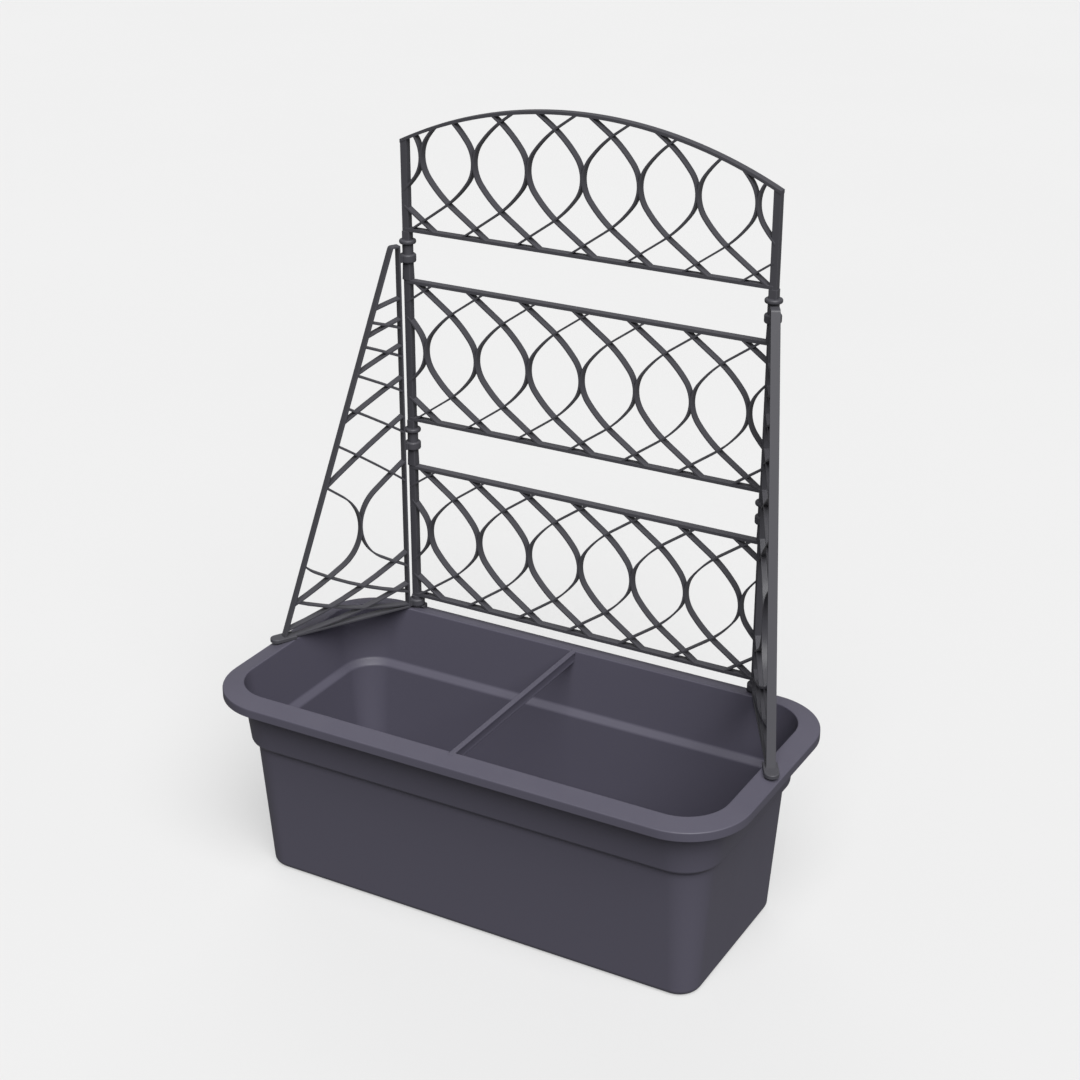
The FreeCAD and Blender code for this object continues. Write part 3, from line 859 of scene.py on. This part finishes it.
def noise(tree, where, scale, detail=3.0):
    made = node(tree, "TexNoise")
    made.inputs["Detail"].default_value = detail
    tree.links.new(where, made.inputs["Vector"])
    if isinstance(scale, (int, float)):
        made.inputs["Scale"].default_value = scale
    else:
        tree.links.new(scale, made.inputs["Scale"])
    return made.outputs["Fac"]


# %% Group 1: the grain of the mould
grain, take, give = new_group(
    "mould_grain", [("Where", "vector", None), ("Grains per metre", "float", 900.0)],
    [("Height", "float"), ("Cloud", "float")])
fine = noise(grain, take["Where"], take["Grains per metre"], 4.0)
broad = noise(grain, take["Where"], 9.0, 5.0)
waves = noise(grain, take["Where"], 60.0, 2.0)
height = maths(grain, "ADD", maths(grain, "MULTIPLY", fine, 0.7),
               maths(grain, "MULTIPLY", waves, 0.3))
grain.links.new(height, give["Height"])
grain.links.new(broad, give["Cloud"])

# %% Group 2: rubbed edges
rubbed, take, give = new_group(
    "rubbed_edges", [("Where", "vector", None), ("Width", "float", 0.002)],
    [("Mask", "float")])
bevelled = node(rubbed, "Bevel", samples=4)
rubbed.links.new(take["Width"], bevelled.inputs["Radius"])
straight = node(rubbed, "NewGeometry")
facing = node(rubbed, "VectorMath", operation="DOT_PRODUCT")
rubbed.links.new(bevelled.outputs["Normal"], facing.inputs[0])
rubbed.links.new(straight.outputs["Normal"], facing.inputs[1])
turned_away = maths(rubbed, "SUBTRACT", 1.0, facing.outputs["Value"])
broken = maths(rubbed, "ADD", noise(rubbed, take["Where"], 70.0, 4.0), 0.35)
mask = maths(rubbed, "MULTIPLY", maths(rubbed, "MULTIPLY", turned_away, 3.0), broken,
             True)
rubbed.links.new(mask, give["Mask"])

# %% Group 3: settled dust
dust, take, give = new_group(
    "settled_dust", [("Where", "vector", None)], [("Mask", "float")])
surface = node(dust, "NewGeometry")
split = node(dust, "SeparateXYZ")
dust.links.new(surface.outputs["Normal"], split.inputs[0])
upward = maths(dust, "POWER", maths(dust, "MAXIMUM", split.outputs["Z"], 0.0), 3.0)
patches = maths(dust, "MULTIPLY", noise(dust, take["Where"], 24.0, 6.0), 1.3)
dust.links.new(maths(dust, "MULTIPLY", upward, patches, True), give["Mask"])
print("node groups", [g.name for g in bpy.data.node_groups])


# %% [markdown]
# Both plastics follow one recipe. The colour is chosen first, then lightened
# where it is rubbed or dusty. The same masks change the gloss, and the grain
# only bends the normal, so it never shows in the outline.


# %% Place a group, and mix two colours
def use(tree, group, where, **values):
    made = node(tree, "Group", node_tree=group)
    tree.links.new(where, made.inputs["Where"])
    for key, value in values.items():
        made.inputs[key.replace("_", " ")].default_value = value
    return made


def blend(tree, factor, a, b):
    """Mix two colours, each a socket or a tuple."""
    made = node(tree, "Mix", data_type="RGBA")
    tree.links.new(factor, made.inputs["Factor"])
    for socket, value in ((made.inputs["A"], a), (made.inputs["B"], b)):
        if isinstance(value, tuple):
            socket.default_value = (*value, 1.0)
        else:
            tree.links.new(value, socket)
    return made.outputs["Result"]


# %% The recipe
RUB_WIDTH = 0.0016               # metres of polish beside an edge
RUB_LIGHTER, RUB_SMOOTHER = 0.5, 0.08
DUST_LIGHTER, DUST_ROUGHER = 0.06, 0.12
CLOUD_SPREAD = 0.16              # how far the gloss drifts over the surface


def plastic(name, dark, light, rub, dusty, rough_mean, grains, depth):
    """dark is met only in the deepest clouds, rub is the polished edge."""
    made = bpy.data.materials.new(name)
    made.use_nodes = True
    tree = made.node_tree
    shader = tree.nodes["Principled BSDF"]
    where = node(tree, "TexCoord").outputs["Object"]
    mould = use(tree, grain, where, Grains_per_metre=grains)
    cloud = mould.outputs["Cloud"]
    edge = use(tree, rubbed, where, Width=RUB_WIDTH).outputs["Mask"]
    film = use(tree, dust, where).outputs["Mask"]

    paler = maths(tree, "ADD", maths(tree, "MULTIPLY", cloud, 1.8), 0.5, True)
    colour = blend(tree, paler, dark, light)
    colour = blend(tree, maths(tree, "MULTIPLY", edge, RUB_LIGHTER), colour, rub)
    colour = blend(tree, maths(tree, "MULTIPLY", film, DUST_LIGHTER), colour, dusty)
    tree.links.new(colour, shader.inputs["Base Color"])

    rough = maths(tree, "ADD", maths(tree, "MULTIPLY", cloud, CLOUD_SPREAD),
                  rough_mean - CLOUD_SPREAD / 2)
    rough = maths(tree, "ADD", rough, maths(tree, "MULTIPLY", film, DUST_ROUGHER))
    rough = maths(tree, "SUBTRACT", rough, maths(tree, "MULTIPLY", edge, RUB_SMOOTHER))
    tree.links.new(rough, shader.inputs["Roughness"])
    bump = node(tree, "Bump")
    bump.inputs["Strength"].default_value = 0.6
    bump.inputs["Distance"].default_value = depth
    tree.links.new(mould.outputs["Height"], bump.inputs["Height"])
    tree.links.new(bump.outputs["Normal"], shader.inputs["Normal"])
    shader.inputs["IOR"].default_value = 1.49
    return made


trough_plastic = plastic(
    "trough_plastic", (0.077, 0.073, 0.101), (0.089, 0.084, 0.115),
    (0.13, 0.125, 0.16), (0.19, 0.18, 0.20), 0.46, 1100.0, 0.00006)
trellis_plastic = plastic(
    "trellis_plastic", (0.052, 0.051, 0.060), (0.064, 0.063, 0.073),
    (0.115, 0.113, 0.13), (0.17, 0.17, 0.175), 0.44, 1500.0, 0.00004)
print("materials", trough_plastic.name, trellis_plastic.name)

# %% [markdown]
# ## Handing the pieces to the frame
# Each finished piece stands for its node of the frame, which is hidden, rides
# on the same body, and is given its plastic as its one material.


# %% Replace, ride and paint
def hand_over(piece, name, body, material):
    shade(piece)
    piece.data.materials.clear()
    piece.data.materials.append(material)
    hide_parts(name)
    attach(piece, body)


finished = {"trough": trough, "cross_brace": brace, "panel_bottom": low_panel,
            "panel_middle": mid_panel, "panel_top": top_panel,
            "post_foot_left": foot_left, "post_foot_right": foot, **joints}
for name, piece in finished.items():
    if name in ("trough", "cross_brace"):
        hand_over(piece, name, "planter", trough_plastic)
    else:
        hand_over(piece, name, "planter", trellis_plastic)
for side, pair in (("left", (wing, shoe)), ("right", (wing_right, shoe_right))):
    for piece, name in zip(pair, ("wing_", "wing_shoe_")):
        hand_over(piece, name + side, "wing_" + side,
                  trellis_plastic)
print("pieces", len(finished) + 4)

# %% [markdown]
# ## The studio
# In the photograph the paper is bright and even, the lip's underside is dark,
# and the inside of the trough is as light as its outside. So most of the light
# comes from one broad, soft sun, high on the camera's side, which reaches deep
# into the trough and leaves the collar in the lip's shade. The surround only
# fills in. The floor glows a little by itself, so that its shadows stay faint,
# and it throws no light back up. A second, weak sun stands low behind, so that
# the back reads too. It is kept out of the reflections, or the lip would shine.

# %% Floor
lay_down()
bpy.ops.mesh.primitive_plane_add(size=60, location=(0, 0, 0))
floor = bpy.context.object
floor.name = "studio_floor"
paper = bpy.data.materials.new("floor_paper")
paper.use_nodes = True
tree = paper.node_tree
shader = tree.nodes["Principled BSDF"]
where = node(tree, "TexCoord").outputs["Object"]
tree.links.new(blend(tree, noise(tree, where, 0.8, 3.0), (0.33, 0.33, 0.33),
                     (0.35, 0.35, 0.35)), shader.inputs["Base Color"])
shader.inputs["Roughness"].default_value = 0.9
shader.inputs["Specular IOR Level"].default_value = 0.0
shader.inputs["Emission Color"].default_value = (1.0, 1.0, 1.0, 1.0)
shader.inputs["Emission Strength"].default_value = 0.45
floor.data.materials.append(paper)
floor.visible_diffuse = False
floor.visible_glossy = False
print("floor", [round(v) for v in floor.dimensions])

# %% [markdown]
# The surround has two strengths. What the camera sees directly is as bright as
# the paper, and what lights the plastic is dim, and almost the same from below
# as from above.

# %% Surround: dim light for the plastic, bright paper for the eye
FILL_BELOW, FILL_ABOVE, PAPER = 0.17, 0.18, 0.87
scene = bpy.context.scene
scene.view_settings.view_transform = "Standard"
world = bpy.data.worlds.new("surround")
world.use_nodes = True
tree = world.node_tree
sky = tree.nodes["Background"]
toward = node(tree, "SeparateXYZ")
tree.links.new(node(tree, "TexCoord").outputs["Generated"], toward.inputs[0])
fill = node(tree, "MapRange")
for label, value in (("From Min", -0.3), ("From Max", 0.3),
                     ("To Min", FILL_BELOW), ("To Max", FILL_ABOVE)):
    fill.inputs[label].default_value = value
tree.links.new(toward.outputs["Z"], fill.inputs["Value"])
seen = node(tree, "Mix", data_type="FLOAT")
tree.links.new(node(tree, "LightPath").outputs["Is Camera Ray"], seen.inputs[0])
tree.links.new(fill.outputs[0], seen.inputs[2])
seen.inputs[3].default_value = PAPER
tree.links.new(seen.outputs[0], sky.inputs["Strength"])
sky.inputs["Color"].default_value = (1.0, 1.0, 1.0, 1.0)
scene.world = world
print("surround", FILL_BELOW, FILL_ABOVE, PAPER)


# %% The broad sun, and a weak one for the back
def soft_sun(name, power, across, side_on, high):
    """Angles in degrees. side_on is counted from the front towards +X."""
    data = bpy.data.lights.new(name, "SUN")
    data.energy = power
    data.angle = radians(across)
    lamp = bpy.data.objects.new(name, data)
    scene.collection.objects.link(lamp)
    side_on, high = radians(side_on), radians(high)
    comes_from = Vector((sin(side_on) * cos(high), -cos(side_on) * cos(high),
                         sin(high)))
    lamp.rotation_euler = (-comes_from).to_track_quat("-Z", "Y").to_euler()
    lamp.location = comes_from * 4
    print(name, [round(v, 2) for v in comes_from])
    return lamp


soft_sun("broad_sun", 3.9, 50, 41, 52)
back_sun = soft_sun("back_sun", 1.1, 60, 215, 14)
back_sun.visible_glossy = False

# %% [markdown]
# The camera stands to the right of the trough and higher than the trellis, and
# looks down at it with a fairly long lens, so the posts stay nearly parallel.
# It is turned by tracking towards a point in the middle of the object.

# %% Camera
view = bpy.data.cameras.new("camera")
view.sensor_width = 36.0
view.lens = 69.24
camera = bpy.data.objects.new("camera", view)
scene.collection.objects.link(camera)
camera.location = (1.26207, -2.17786, 1.66929)
aim = Vector((0.0382, 0.0, 0.54466)) - camera.location
camera.rotation_euler = aim.to_track_quat("-Z", "Y").to_euler()
scene.camera = camera
print("camera", [round(v, 3) for v in camera.location])
